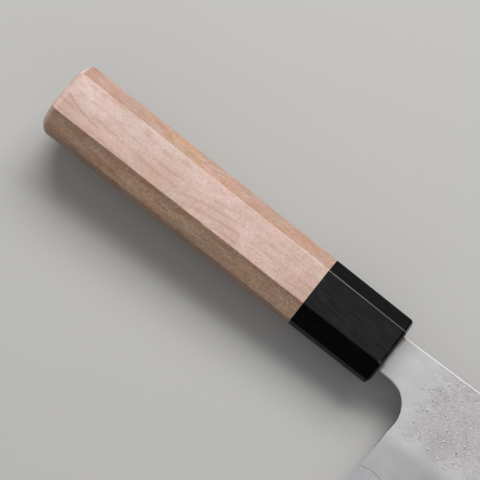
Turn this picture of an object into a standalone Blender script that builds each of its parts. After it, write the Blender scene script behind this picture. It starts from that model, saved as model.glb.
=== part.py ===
"""Santoku kitchen knife with a three-layer blade and an octagonal wooden handle, lying on its left side.

Units are metres and +Z is up. The pieces are drawn in the knife's own frame and then laid down together.
In that frame X runs from the handle to the tip, Y from the cutting edge to the spine, and Z out of the
right face. Its origin is on the handle's axis, in the plane of the ferrule's front face.
"""

import math

import bmesh
import bpy
import numpy as np
from mathutils import Matrix, Vector
from mathutils.geometry import interpolate_bezier

# Handle: lengths, then the octagon at each end, measured across opposite sides
WOOD_LENGTH = 0.0984
FERRULE_LENGTH = 0.0305
BUTT_HEIGHT = 0.0246
BUTT_THICKNESS = 0.01975
BUTT_ACROSS_CHAMFERS = 0.02375
FRONT_HEIGHT = 0.02365
FRONT_THICKNESS = 0.0182
FRONT_ACROSS_CHAMFERS = 0.02155
CHAMFER_ANGLE = math.radians(42)
RIDGE_RADIUS = 0.0006
BUTT_ROUNDING = 0.0028
FERRULE_ROUNDING = 0.0015

# Round tenon of the wood inside the ferrule, with its least wall at the corners of the tang's socket
TENON_LENGTH = 0.0215
TENON_WALL = 0.0009
TENON_TAPER = math.radians(1.6)

# Tang inside the handle, and the neck between the ferrule and the blade
TANG_LENGTH = 0.0920
TANG_HEIGHT_FRONT = 0.0088
TANG_HEIGHT_END = 0.0056
TANG_THICKNESS_END = 0.0022
TANG_POINT_LENGTH = 0.0060
TANG_POINT_HEIGHT = 0.0026
NECK_ABOVE_AXIS = 0.00655
NECK_BELOW_AXIS = 0.00675
NECK_SEAT_DEPTH = 0.0025
NECK_SHOULDER_LENGTH = 0.0012

# Blade outline. Lengths run along the spine from the heel, and depths run square to it, down from it
BLADE_LENGTH = 0.170
HEEL_HEIGHT = 0.050
HEEL_FROM_FERRULE = 0.0113
SPINE_RISE = math.radians(1.6)
HEEL_LEAN = math.radians(3.8)
CHOIL_RADIUS = 0.0096
TIP_ABOVE_HEEL = 0.011
NOSE_LENGTH = 0.070
NOSE_EASE_IN = 0.038
NOSE_EASE_OUT = 0.024
NOSE_ANGLE_AT_TIP = math.radians(55)
EDGE_EASE_IN = 0.070
EDGE_EASE_OUT = 0.036
EDGE_DIP_AT_HEEL = math.radians(0.6)
EDGE_ANGLE_AT_TIP = math.radians(17)

# Blade section: flat faces that thin towards the tip and the edge, then a convex core and a fine bevel
SPINE_THICKNESS = 0.0035
LINE_THICKNESS = 0.00165
TIP_THICKNESS = 0.0005
SPINE_EASING = 0.0004
BEVEL_WIDTH = 0.0007
BEVEL_SHOULDER_THICKNESS = 0.00028
CONVEXITY = 0.00004

# Lamination line, where the outer layers end and the core shows
CORE_SHOWN_AT_HEEL = 0.0095
CORE_SHOWN_AT_MIDDLE = 0.0091
LINE_END_ON_NOSE = 0.80
LINE_WAVE_HEIGHT = 0.0007
LINE_WAVE_LENGTHS = (0.031, 0.0137)
LAYER_EDGE_THICKNESS = 0.00010

# Clearances
WELD_LINE = 0.00005
JOINT_LINE = 0.00005
GLUE_GAP = 0.0001
NECK_CLEARANCE = 0.0002
BEDDING_WALL = 0.0008
CUT_OVERRUN = 0.002

# How finely curves are drawn
RIDGE_STEPS = 3
ROUNDING_STEPS = 5
ROUND_SIDES = 48
CURVE_POINTS = 200
LINE_STATIONS = 100
NOSE_STATIONS = 12
CHOIL_STATIONS = 14
HEEL_STATIONS = 5
SHADING_ANGLE = math.radians(28)

HANDLE_LENGTH = WOOD_LENGTH + FERRULE_LENGTH
SOCKET_MARGIN = BEDDING_WALL + 2 * GLUE_GAP
TENON_END = -FERRULE_LENGTH + TENON_LENGTH
SHOULDER_END = -NECK_SEAT_DEPTH - NECK_SHOULDER_LENGTH


def clear_scene():
    """Removes every object, so that the file holds the knife alone."""
    for item in list(bpy.data.objects):
        bpy.data.objects.remove(item, do_unlink=True)


def material(name, colour, roughness, metallic=0.0):
    """Plain finish of one colour, roughness and metallic share."""
    finish = bpy.data.materials.new(name)
    finish.use_nodes = True
    shader = finish.node_tree.nodes["Principled BSDF"]
    shader.inputs["Base Color"].default_value = (*colour, 1.0)
    shader.inputs["Roughness"].default_value = roughness
    shader.inputs["Metallic"].default_value = metallic
    finish.diffuse_color = (*colour, 1.0)
    return finish


def finished(name, bm, finish):
    """Object from a closed bmesh, with smooth shading that keeps the real corners."""
    bmesh.ops.recalc_face_normals(bm, faces=bm.faces)
    mesh = bpy.data.meshes.new(name)
    bm.to_mesh(mesh)
    bm.free()
    mesh.shade_smooth()
    mesh.set_sharp_from_angle(angle=SHADING_ANGLE)
    piece = bpy.data.objects.new(name, mesh)
    bpy.context.scene.collection.objects.link(piece)
    if finish is not None:
        mesh.materials.append(finish)
    return piece


def loft(name, rings, finish=None):
    """Closed solid through rings of as many points each, with the first and the last ring capped."""
    bm = bmesh.new()
    loops = [[bm.verts.new(point) for point in ring] for ring in rings]
    for near, far in zip(loops, loops[1:]):
        for k in range(len(near)):
            bm.faces.new((near[k - 1], near[k], far[k], far[k - 1]))
    bm.faces.new(loops[0])
    bm.faces.new(loops[-1])
    return finished(name, bm, finish)


def combine(piece, tool, operation):
    """Joins a hidden shape to the piece, or cuts it out. The shape goes wherever the piece goes."""
    tool.hide_render = True
    tool.display_type = "WIRE"
    tool.parent = piece
    modifier = piece.modifiers.new(f"{operation.lower()} {tool.name}", "BOOLEAN")
    modifier.operation = operation
    modifier.solver = "EXACT"
    modifier.object = tool


def octagon(x, inset=0.0):
    """Eight-sided ring round the handle at x, drawn in by inset, with a rounded ridge at each corner."""
    share = 1 + x / HANDLE_LENGTH
    height = BUTT_HEIGHT + (FRONT_HEIGHT - BUTT_HEIGHT) * share
    thickness = BUTT_THICKNESS + (FRONT_THICKNESS - BUTT_THICKNESS) * share
    across = BUTT_ACROSS_CHAMFERS + (FRONT_ACROSS_CHAMFERS - BUTT_ACROSS_CHAMFERS) * share
    quarter = math.pi / 2
    sides = []
    for turn in (0, 2):
        sides += [
            (turn * quarter, height),
            (turn * quarter + CHAMFER_ANGLE, across),
            ((turn + 1) * quarter, thickness),
            ((turn + 2) * quarter - CHAMFER_ANGLE, across),
        ]
    ring = []
    for k, (angle, width) in enumerate(sides):
        next_angle, next_width = sides[(k + 1) % len(sides)]
        if next_angle < angle:
            next_angle += 2 * math.pi
        normals = np.array([[math.cos(a), math.sin(a)] for a in (angle, next_angle)])
        reach = np.array([width, next_width]) / 2 - inset - RIDGE_RADIUS
        centre = np.linalg.solve(normals, reach)
        for turn in np.linspace(angle, next_angle, RIDGE_STEPS + 1):
            y = centre[0] + RIDGE_RADIUS * math.cos(turn)
            z = centre[1] + RIDGE_RADIUS * math.sin(turn)
            ring.append((x, y, z))
    return ring


def rounded_end(x, radius, inwards):
    """Rings that round the handle's end at x over to its end face. inwards is +1 or -1, into the handle."""
    turns = np.linspace(0, math.pi / 2, ROUNDING_STEPS + 1)
    return [
        octagon(x + inwards * radius * (1 - math.sin(turn)), radius * (1 - math.cos(turn)))
        for turn in turns
    ]


def oblong_ring(x, above, below, half_thickness):
    """Upright oblong at x that reaches above and below the handle's axis and to both sides of it."""
    return [
        (x, above, half_thickness),
        (x, -below, half_thickness),
        (x, -below, -half_thickness),
        (x, above, -half_thickness),
    ]


def tang_half_height(x):
    """Half the tang's height at x. The tang grows lower towards the butt."""
    return (TANG_HEIGHT_FRONT - (TANG_HEIGHT_END - TANG_HEIGHT_FRONT) * x / TANG_LENGTH) / 2


def tang_half_thickness(x):
    """Half the tang's thickness at x. The tang grows thinner towards the butt."""
    return (SPINE_THICKNESS - (TANG_THICKNESS_END - SPINE_THICKNESS) * x / TANG_LENGTH) / 2


def tang_ring(x, margin):
    """Oblong round the tang at x, margin clear of it on every side."""
    half_height = tang_half_height(x) + margin
    return oblong_ring(x, half_height, half_height, tang_half_thickness(x) + margin)


def tenon_ring(x, clearance=0.0):
    """Ring of the tapered tenon at x, or of its bore. The taper runs on past the tenon's two ends."""
    corner = math.hypot(
        tang_half_height(TENON_END) + SOCKET_MARGIN,
        tang_half_thickness(TENON_END) + SOCKET_MARGIN,
    )
    radius = corner + TENON_WALL + (TENON_END - x) * math.tan(TENON_TAPER) + clearance
    turns = np.arange(ROUND_SIDES) * 2 * math.pi / ROUND_SIDES
    return [(x, radius * math.cos(turn), radius * math.sin(turn)) for turn in turns]


def make_handle_body(finish):
    """Octagonal wood with a rounded butt, a tapered tenon at its front and a blind socket for the tang."""
    joint = -FERRULE_LENGTH - JOINT_LINE
    body = loft(
        "handle_body",
        rounded_end(-HANDLE_LENGTH, BUTT_ROUNDING, 1)[::-1] + [octagon(joint)],
        finish,
    )
    tenon = loft("tenon_shape", [tenon_ring(joint - CUT_OVERRUN), tenon_ring(TENON_END)])
    combine(body, tenon, "UNION")
    ends = (-TANG_LENGTH - SOCKET_MARGIN, TENON_END + CUT_OVERRUN)
    socket = loft("socket_shape", [tang_ring(x, SOCKET_MARGIN) for x in ends])
    combine(body, socket, "DIFFERENCE")
    return body


def make_ferrule(finish):
    """Octagonal collar flush with the wood, bored from behind for the tenon and slotted for the neck."""
    ferrule = loft(
        "ferrule",
        [octagon(-FERRULE_LENGTH)] + rounded_end(0, FERRULE_ROUNDING, -1),
        finish,
    )
    ends = (-FERRULE_LENGTH - CUT_OVERRUN, TENON_END + GLUE_GAP)
    bore = loft("bore_shape", [tenon_ring(x, GLUE_GAP) for x in ends])
    combine(ferrule, bore, "DIFFERENCE")
    ends = (TENON_END - CUT_OVERRUN, -NECK_SEAT_DEPTH)
    slot = loft("slot_shape", [tang_ring(x, SOCKET_MARGIN) for x in ends])
    combine(ferrule, slot, "DIFFERENCE")
    sides = [
        size + NECK_CLEARANCE for size in (NECK_ABOVE_AXIS, NECK_BELOW_AXIS, SPINE_THICKNESS / 2)
    ]
    ends = (SHOULDER_END - NECK_CLEARANCE, CUT_OVERRUN)
    seat = loft("neck_seat_shape", [oblong_ring(x, *sides) for x in ends])
    combine(ferrule, seat, "DIFFERENCE")
    return ferrule


def make_tang_bedding(finish):
    """Resin sleeve that fills the socket round the tang and closes behind its end."""
    outer = GLUE_GAP + BEDDING_WALL
    mouth = SHOULDER_END - 2 * NECK_CLEARANCE
    rings = [
        tang_ring(-TANG_LENGTH - GLUE_GAP, GLUE_GAP),
        tang_ring(mouth, GLUE_GAP),
        tang_ring(mouth, outer),
        tang_ring(-TANG_LENGTH - outer, outer),
    ]
    return loft("tang_bedding", rings, finish)


def spine_height(x):
    """Height of the straight spine above the handle's axis."""
    return NECK_ABOVE_AXIS + x * math.tan(SPINE_RISE)


def blade_point(along, depth):
    """Point given by its length from the heel along the spine and its depth below the spine's line."""
    foot_x = HEEL_FROM_FERRULE * math.cos(SPINE_RISE)
    forward = np.array([math.cos(SPINE_RISE), math.sin(SPINE_RISE)])
    down = np.array([math.sin(SPINE_RISE), -math.cos(SPINE_RISE)])
    return np.array([foot_x, spine_height(foot_x)]) + along * forward + depth * down


def depth_below_spine(point):
    """Depth of a point below the spine's line, square to it."""
    return (spine_height(point[0]) - point[1]) * math.cos(SPINE_RISE)


def bezier(start, start_handle, end_handle, end):
    """Points of the cubic curve from start to end that the two handles draw."""
    corners = [Vector((*point, 0.0)) for point in (start, start_handle, end_handle, end)]
    return np.array([point[:2] for point in interpolate_bezier(*corners, CURVE_POINTS)])


def spaced(path, count):
    """count + 1 points at even steps along a path."""
    steps = np.linalg.norm(np.diff(path, axis=0), axis=1)
    reached = np.concatenate([[0], np.cumsum(steps)])
    wanted = np.linspace(0, reached[-1], count + 1)
    return np.column_stack([np.interp(wanted, reached, path[:, k]) for k in (0, 1)])


def inward(path, side):
    """Unit normals along a path, to its left for side 1 and to its right for side -1."""
    run = np.gradient(path, axis=0)
    run /= np.linalg.norm(run, axis=1)[:, None]
    return side * np.column_stack([-run[:, 1], run[:, 0]])


TIP_DEPTH = HEEL_HEIGHT - TIP_ABOVE_HEEL
TIP = blade_point(BLADE_LENGTH, TIP_DEPTH)
HEEL = blade_point(0, HEEL_HEIGHT)


def edge_curve():
    """Cutting edge from the heel to the tip: nearly flat at first, then a gentle belly."""
    return bezier(
        HEEL,
        blade_point(EDGE_EASE_IN, HEEL_HEIGHT + EDGE_EASE_IN * math.tan(EDGE_DIP_AT_HEEL)),
        blade_point(
            BLADE_LENGTH - EDGE_EASE_OUT * math.cos(EDGE_ANGLE_AT_TIP),
            TIP_DEPTH + EDGE_EASE_OUT * math.sin(EDGE_ANGLE_AT_TIP),
        ),
        TIP,
    )


def nose_curve():
    """Drop of the spine from its straight stretch to the tip."""
    start = BLADE_LENGTH - NOSE_LENGTH
    return bezier(
        blade_point(start, 0),
        blade_point(start + NOSE_EASE_IN, 0),
        blade_point(
            BLADE_LENGTH - NOSE_EASE_OUT * math.cos(NOSE_ANGLE_AT_TIP),
            TIP_DEPTH - NOSE_EASE_OUT * math.sin(NOSE_ANGLE_AT_TIP),
        ),
        TIP,
    )


def heel_point(depth):
    """Point of the heel's line at a depth below the spine's line."""
    return blade_point((HEEL_HEIGHT - depth) * math.tan(HEEL_LEAN), depth)


def choil_arc():
    """Hollow between the neck's lower side and the heel's line, tangent to both."""
    lean = HEEL_LEAN - SPINE_RISE
    up = np.array([math.sin(lean), math.cos(lean)])
    back = np.array([-math.cos(lean), math.sin(lean)])
    beside = HEEL + CHOIL_RADIUS * back
    centre = beside + up * (-NECK_BELOW_AXIS - CHOIL_RADIUS - beside[1]) / up[1]
    turns = np.linspace(math.pi / 2, -lean, CHOIL_STATIONS + 1)
    return centre + CHOIL_RADIUS * np.column_stack([np.cos(turns), np.sin(turns)])


def lamination_line(nose):
    """Wavy line from the heel to the nose, where the outer layers end."""
    depth = HEEL_HEIGHT - CORE_SHOWN_AT_HEEL
    middle_depth = HEEL_HEIGHT - CORE_SHOWN_AT_MIDDLE
    start = heel_point(depth)
    end = nose[round(LINE_END_ON_NOSE * (CURVE_POINTS - 1))]
    handles = [
        blade_point(along, middle_depth) for along in (BLADE_LENGTH / 3, BLADE_LENGTH - NOSE_EASE_IN)
    ]
    line = spaced(bezier(start, *handles, end), LINE_STATIONS)
    run = np.linspace(0, 1, LINE_STATIONS + 1)
    length = np.linalg.norm(end - start)
    long_wave, short_wave = (np.sin(2 * math.pi * run * length / wave) for wave in LINE_WAVE_LENGTHS)
    fade = np.sin(math.pi * np.minimum(1, 4 * (1 - run)) / 2)
    wave = LINE_WAVE_HEIGHT * fade * (long_wave + 0.6 * short_wave)
    return line + inward(line, 1) * wave[:, None]


def tang_rails():
    """Upper and lower outline of the tang, from its blunt point to the neck at the ferrule's face."""
    point_start = -TANG_LENGTH + TANG_POINT_LENGTH
    tang = [(-TANG_LENGTH, TANG_POINT_HEIGHT / 2)]
    tang += [(x, tang_half_height(x)) for x in (point_start, SHOULDER_END)]
    neck = (-NECK_SEAT_DEPTH, 0.0)
    upper = tang + [(x, NECK_ABOVE_AXIS) for x in neck]
    lower = [(x, -y) for x, y in tang] + [(x, -NECK_BELOW_AXIS) for x in neck]
    return np.array(upper), np.array(lower)


def layer_rails(nose, line):
    """Upper and lower outline of the outer layers, with as many points each, from the tang to the nose."""
    tang_upper, tang_lower = tang_rails()
    choil = choil_arc()
    choil_depth = depth_below_spine(choil[-1])
    depths = np.linspace(choil_depth, HEEL_HEIGHT - CORE_SHOWN_AT_HEEL, HEEL_STATIONS + 1)[1:-1]
    heel = np.array([heel_point(depth) for depth in depths])
    lower = np.concatenate([tang_lower, choil, heel, line])
    nose_end = round(LINE_END_ON_NOSE * (CURVE_POINTS - 1))
    fan = len(choil) + len(heel)
    fan_x = np.linspace(choil[0][0], line[0][0] + CHOIL_RADIUS / 2, fan + 1)
    over_fan = np.array([(x, spine_height(x)) for x in fan_x])
    spine = spaced(np.concatenate([over_fan[-1:], nose[: nose_end + 1]]), LINE_STATIONS)
    upper = np.concatenate([tang_upper, over_fan[:-1], spine])
    return upper, lower


def flat_slopes():
    """How fast a blade face nears the middle, for each metre towards the tip and each metre down."""
    line_foot = heel_point(HEEL_HEIGHT - CORE_SHOWN_AT_HEEL)
    places = [
        [line_foot[0], depth_below_spine(line_foot)],
        [TIP[0], depth_below_spine(TIP)],
    ]
    losses = [(SPINE_THICKNESS - LINE_THICKNESS) / 2, (SPINE_THICKNESS - TIP_THICKNESS) / 2]
    return np.linalg.solve(places, losses)


SLOPE_ALONG, SLOPE_DOWN = flat_slopes()
TANG_SLOPE = (SPINE_THICKNESS - TANG_THICKNESS_END) / 2 / TANG_LENGTH


def flat_half(point, depth=None):
    """Half the blade's thickness at a point of its flat face, or at that length and another depth."""
    x = point[0]
    loss = SLOPE_ALONG * x if x > 0 else -TANG_SLOPE * x
    depth = depth_below_spine(point) if depth is None else depth
    return SPINE_THICKNESS / 2 - loss - SLOPE_DOWN * depth


def core_half(point, line_depth):
    """Half the core's thickness between the outer layers, which end over it at line_depth."""
    x = point[0]
    front = flat_half((max(x, 0.0), 0.0), line_depth) - LAYER_EDGE_THICKNESS
    if x > 0:
        return front
    return front * (1 + 2 * TANG_SLOPE * x / SPINE_THICKNESS)


def add_row(bm, points, outer, inner):
    """Row of sheet points that carry the heights of the two faces to be raised from them."""
    outer_layer = bm.verts.layers.float["outer"]
    inner_layer = bm.verts.layers.float["inner"]
    row = []
    for point, top, bottom in zip(points, outer, inner):
        vert = bm.verts.new((*point, 0.0))
        vert[outer_layer] = top
        vert[inner_layer] = bottom
        row.append(vert)
    return row


def fill_rows(bm, upper, lower):
    """Faces between two rows. Rows that end in one shared point close with a triangle."""
    for k in range(len(upper) - 1):
        corners = [upper[k], lower[k], lower[k + 1], upper[k + 1]]
        bm.faces.new(list(dict.fromkeys(corners)))


def raise_sheet(bm):
    """Turns the flat sheet into a solid, with one copy at the outer heights and one at the inner ones."""
    outer_layer = bm.verts.layers.float["outer"]
    inner_layer = bm.verts.layers.float["inner"]
    sheet = list(bm.faces)
    raised = bmesh.ops.extrude_face_region(bm, geom=sheet)["geom"]
    upper = {item for item in raised if isinstance(item, bmesh.types.BMVert)}
    for vert in bm.verts:
        vert.co.z = vert[outer_layer] if vert in upper else vert[inner_layer]
    bmesh.ops.remove_doubles(bm, verts=bm.verts, dist=1e-7)


def new_sheet():
    """Empty sheet whose points can carry an outer and an inner height."""
    bm = bmesh.new()
    bm.verts.layers.float.new("outer")
    bm.verts.layers.float.new("inner")
    return bm


def make_layer(name, side, upper, lower, line_depth, finish):
    """Outer steel of one side, flat outside, with eased edges along the spine, the neck and the choil."""
    bm = new_sheet()
    line_start = len(lower) - LINE_STATIONS - 1
    ease = np.array([
        min(SPINE_EASING, (flat_half(point) - core_half(point, line_depth)) / 3) for point in upper
    ])
    lower_drop = np.where(np.arange(len(lower)) < line_start, ease, 0)
    ease[-1] = 0
    upper_in = upper + inward(upper, -1) * ease[:, None]
    lower_in = lower + inward(lower, 1) * ease[:, None]
    level = 0 * ease
    bands = ((upper, ease), (upper_in, level), (lower_in, level), (lower, lower_drop))
    rows = []
    for points, drop in bands:
        outer = [side * (flat_half(p) - d) for p, d in zip(points, drop)]
        inner = [side * (core_half(p, line_depth) + WELD_LINE) for p in points]
        rows.append(add_row(bm, points, outer, inner))
    tail = rows[0][-1]
    for row in rows[1:]:
        bm.verts.remove(row[-1])
        row[-1] = tail
    for near, far in zip(rows, rows[1:]):
        fill_rows(bm, near, far)
    raise_sheet(bm)
    return finished(name, bm, finish)


def make_core(upper, lower, nose, edge, line_depth, finish):
    """Hard core: thin between the layers, full width where it shows, and ground to the cutting edge."""
    bm = new_sheet()
    line_start = len(lower) - LINE_STATIONS - 1
    down = np.array([math.sin(SPINE_RISE), -math.cos(SPINE_RISE)])
    covered = lower.copy()
    covered[line_start:-1] += WELD_LINE * down
    rows = []
    for points in (upper, covered):
        half = [core_half(p, line_depth) for p in points]
        rows.append(add_row(bm, points, half, [-h for h in half]))
    bm.verts.remove(rows[1][-1])
    rows[1][-1] = rows[0][-1]
    fill_rows(bm, *rows)

    nose_start = round(LINE_END_ON_NOSE * (CURVE_POINTS - 1))
    shown_nose = spaced(nose[nose_start:], NOSE_STATIONS)
    top = np.concatenate([lower[line_start:] + 2 * WELD_LINE * down, shown_nose[1:]])
    top[LINE_STATIONS] = spaced(nose[nose_start:], CURVE_POINTS)[1]
    bottom = spaced(edge, LINE_STATIONS + NOSE_STATIONS)
    shoulder = bottom + inward(bottom, 1) * BEVEL_WIDTH
    middle = (top + shoulder) / 2
    top_half = np.array([flat_half(p) for p in top])
    shoulder_half = np.full(len(top), BEVEL_SHOULDER_THICKNESS / 2)
    middle_half = (top_half + shoulder_half) / 2 + CONVEXITY
    bands = (
        (top, top_half),
        (middle, middle_half),
        (shoulder, shoulder_half),
        (bottom, 0 * top_half),
    )
    strips = []
    for points, half in bands:
        half = np.append(half[:-1], 0.0)
        strips.append(add_row(bm, points, half, -half))
    tip = strips[-1][-1]
    for row in strips[:-1]:
        bm.verts.remove(row[-1])
        row[-1] = tip
    fill_rows(bm, rows[1][line_start:], strips[0][: LINE_STATIONS + 1])
    for near, far in zip(strips, strips[1:]):
        fill_rows(bm, near, far)
    raise_sheet(bm)
    return finished("core_steel", bm, finish)


def lay_down(pieces):
    """Parents the pieces to an empty that lays the knife on its left side, centred over the origin.

    The knife stands on the ferrule's lower front edge, and is pitched until the blade touches the table too.
    """
    pose = bpy.data.objects.new("lying_knife", None)
    bpy.context.scene.collection.objects.link(pose)
    graph = bpy.context.evaluated_depsgraph_get()
    points = []
    for piece in pieces:
        piece.parent = pose
        evaluated = piece.evaluated_get(graph)
        points += [vert.co.copy() for vert in evaluated.to_mesh().vertices]
        evaluated.to_mesh_clear()
    foot_x = -FERRULE_ROUNDING
    foot_z = min(z for _, _, z in octagon(foot_x))
    pitch = min(math.atan2(point.z - foot_z, point.x - foot_x) for point in points if point.x > 0)
    turn = Matrix.Rotation(pitch, 4, "Y")
    laid = np.array([turn @ point for point in points])
    low, high = laid.min(axis=0), laid.max(axis=0)
    pose.location = (-(low[0] + high[0]) / 2, -(low[1] + high[1]) / 2, -low[2])
    pose.rotation_euler = turn.to_euler()


def main():
    clear_scene()
    wood = material("pale_wood", (0.62, 0.44, 0.31), 0.55)
    horn = material("black_horn", (0.012, 0.012, 0.013), 0.32)
    resin = material("amber_resin", (0.30, 0.17, 0.06), 0.35)
    soft_steel = material("soft_outer_steel", (0.56, 0.56, 0.56), 0.38, 1.0)
    hard_steel = material("hard_core_steel", (0.48, 0.48, 0.49), 0.28, 1.0)

    nose = nose_curve()
    line = lamination_line(nose)
    line_depth = max(depth_below_spine(point) for point in line)
    upper, lower = layer_rails(nose, line)
    pieces = [
        make_handle_body(wood),
        make_ferrule(horn),
        make_tang_bedding(resin),
        make_core(upper, lower, nose, edge_curve(), line_depth, hard_steel),
        make_layer("cladding_right", 1, upper, lower, line_depth, soft_steel),
        make_layer("cladding_left", -1, upper, lower, line_depth, soft_steel),
    ]
    lay_down(pieces)


main()
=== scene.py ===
"""Looks of a santoku kitchen knife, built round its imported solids.

Each piece is modelled in the knife's own frame and then laid down where the solids lie. In that frame X runs
from the handle to the tip, Y from the cutting edge to the spine and Z out of the right face. Its origin is on
the handle's axis, in the plane of the ferrule's front face. Lengths are metres, and millimetres in materials.
"""

import math
from functools import partial, reduce, wraps
from types import SimpleNamespace

import bmesh
import bpy
import numpy as np
from bpy.props import FloatProperty, FloatVectorProperty, PointerProperty
from mathutils import Matrix, Vector


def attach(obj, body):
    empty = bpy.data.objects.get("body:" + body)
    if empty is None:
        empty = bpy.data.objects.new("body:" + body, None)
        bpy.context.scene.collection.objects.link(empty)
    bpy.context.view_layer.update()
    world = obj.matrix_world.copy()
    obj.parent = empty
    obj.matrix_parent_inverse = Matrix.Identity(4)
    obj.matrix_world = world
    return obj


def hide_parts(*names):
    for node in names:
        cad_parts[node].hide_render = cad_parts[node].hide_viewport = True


bl_info = {
    "name": "Santoku Knife",
    "version": (1, 0, 0),
    "blender": (4, 5, 0),
    "location": "3D View > Sidebar > Knife",
    "description": "Models the grip, ferrule and laminated blade of a santoku knife on its packed solids",
    "category": "Add Mesh",
}

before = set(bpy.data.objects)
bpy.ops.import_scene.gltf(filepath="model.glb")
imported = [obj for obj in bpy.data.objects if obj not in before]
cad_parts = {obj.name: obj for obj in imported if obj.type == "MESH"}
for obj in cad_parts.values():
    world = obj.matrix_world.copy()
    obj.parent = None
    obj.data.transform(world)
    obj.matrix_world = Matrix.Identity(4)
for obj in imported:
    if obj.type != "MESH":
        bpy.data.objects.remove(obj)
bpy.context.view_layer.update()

MM = 0.001

# Verts closer than these are merged on a copied solid, and after its edges are beveled.
COPY_WELD = 1e-6
BEVEL_WELD = 2e-6

# Offset of the bevel that rounds a turn of 45 degrees, as a share of the rounding's radius.
RIDGE_OFFSET = 0.42

# Bars inside the handle, as on the solids: their start and end on its axis, and their size at each of them.
# A round bar's size is its radius, and an oblong one's is its half height and half thickness.
TENON = {"start": -0.0315, "end": -0.009, "first": 0.00742, "last": 0.00679}
TENON_BORE = {"start": -0.0325, "end": -0.0089, "first": 0.00755, "last": 0.00689}
TANG_SOCKET = {"start": -0.093, "end": -0.007, "first": (0.003783, 0.002093), "last": (0.005278, 0.002701)}
TANG_SLOT = {"start": -0.011, "end": -0.0025, "first": (0.00521, 0.00267), "last": (0.00536, 0.00273)}

# The box-shaped seat of the blade's neck in the ferrule's front.
NECK_SEAT = {"location": (-0.0009, -0.0001, 0), "scale": (0.006, 0.0137, 0.0039)}

# Height of the spine over the handle's axis at the ferrule, in millimetres, and its rise along the knife.
SPINE_START = 6.55
SPINE_RISE = 0.02793

# How far the tree's pith lies from the handle's axis, towards the edge side and downwards, in millimetres.
PITH_ASIDE = 40.0
PITH_BELOW = 12.0

# Middles of the places whose finish differs from what lies round them, in millimetres.
DUSKY_WOOD = (-85.5, -2.0, 9.0)
RUBBED_HORN = (-1.2, -6.1, 8.9)
PIT_NEST = (28.5, -14.0, 1.5)
SMALL_PIT_NEST = (20.5, -1.5, 1.5)
WARM_STEEL = (31.0, -6.0, 0.0)
DULL_STEEL = (30.5, -28.0, 0.0)

# Dull grey that the steel's clouds, darker places and painted shade turn towards.
DULL_GREY = (0.42, 0.42, 0.43)

# Camera in the knife's frame, fitted to the corners of the handle in the photograph.
CAMERA_PLACE = Vector((-0.02609, -0.12613, 0.58887))
CAMERA_RIGHT = Vector((0.7836, 0.6151, 0.0878))
CAMERA_BACK = Vector((0.0530, -0.2069, 0.9769))
FOCAL_LENGTH = 145.975
SENSOR_WIDTH = 36.0


def solid_points(node):
    """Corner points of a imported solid, each of them once."""
    points = np.array([vertex.co[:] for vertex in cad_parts[node].data.vertices])
    return np.unique(points.round(7), axis=0)


def read_pose():
    """Matrix from the knife's own frame to the world's, read off the solids.

    The core lies evenly on both sides of the knife's middle plane, whose normal is its thinnest axis.
    """
    core = solid_points("core_steel")
    middle = core.mean(axis=0)
    up = Vector(np.linalg.svd(core - middle)[2][-1])
    up = Vector((up.x, 0, up.z)).normalized() * math.copysign(1, up.z)
    forward = Vector((up.z, 0, -up.x))
    ferrule = solid_points("ferrule")
    front = max(ferrule @ np.array(forward))
    side = (ferrule[:, 1].min() + ferrule[:, 1].max()) / 2
    origin = forward * front + Vector((0, side, 0)) + up * up.dot(middle)
    return Matrix.LocRotScale(origin, Matrix((forward, (0, 1, 0), up)).transposed(), None)


POSE = read_pose()


def metres(name, description, default):
    """Property for a length in metres."""
    return FloatProperty(
        name=name, description=description, default=default, unit="LENGTH", precision=5, min=0.0
    )


def colour(name, description, default):
    """Property for a linear colour."""
    return FloatVectorProperty(
        name=name, description=description, default=default, subtype="COLOR", size=3, min=0.0, max=1.0
    )


def power(name, description, default):
    """Property for the power of a light."""
    return FloatProperty(name=name, description=description, default=default, unit="POWER", min=0.0)


class KnifeHandleSettings(bpy.types.PropertyGroup):
    """Sizes of the octagonal handle, as on the solids, and the colours of its wood and horn"""

    wood_length: metres("Wood length", "Length of the wood behind the ferrule", 0.0984)
    ferrule_length: metres("Ferrule length", "Length of the horn collar", 0.0305)
    butt_height: metres("Butt height", "Handle's height at the butt, from edge side to spine side", 0.02459)
    butt_thickness: metres("Butt thickness", "Handle's thickness at the butt, from left to right", 0.01974)
    butt_across: metres("Butt across chamfers", "Distance between opposite chamfers at the butt", 0.02374)
    front_height: metres("Front height", "Handle's height at the ferrule's front", 0.02365)
    front_thickness: metres("Front thickness", "Handle's thickness at the ferrule's front", 0.0182)
    front_across: metres("Front across chamfers", "Distance between opposite chamfers at the front", 0.02155)
    chamfer_angle: FloatProperty(
        name="Chamfer angle",
        description="Turn of a chamfer's normal away from the handle's upper side",
        default=math.radians(42),
        subtype="ANGLE",
    )
    ridge_radius: metres("Ridge radius", "Rounding of the eight long ridges", 0.0006)
    butt_rounding: metres("Butt rounding", "Rounding of the rim of the butt", 0.0028)
    ferrule_rounding: metres("Ferrule rounding", "Rounding of the ferrule's front rim", 0.0015)
    joint_line: metres("Joint line", "Gap between the wood and the ferrule", 0.00005)
    joint_rounding: metres("Joint rounding", "Rounding of the rims that meet at the joint line", 0.00006)
    grain_depth: metres("Grain depth", "Depth of the fibres and pores in the wood", 0.00003)
    scratch_depth: metres("Scratch depth", "Depth of the fine scratches in the horn", 0.000003)
    wood_pale: colour("Pale wood", "Colour of the palest wood", (0.61, 0.475, 0.428))
    wood_tan: colour("Tan wood", "Colour of the clouds in the wood", (0.495, 0.36, 0.304))
    wood_streak: colour("Wood streak", "Colour of growth lines and pores", (0.33, 0.19, 0.13))
    horn_dark: colour("Dark horn", "Ground colour of the ferrule", (0.0009, 0.0009, 0.0009))
    horn_streak: colour("Horn streak", "Colour of the faint streaks in the horn", (0.0135, 0.0133, 0.013))


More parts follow.
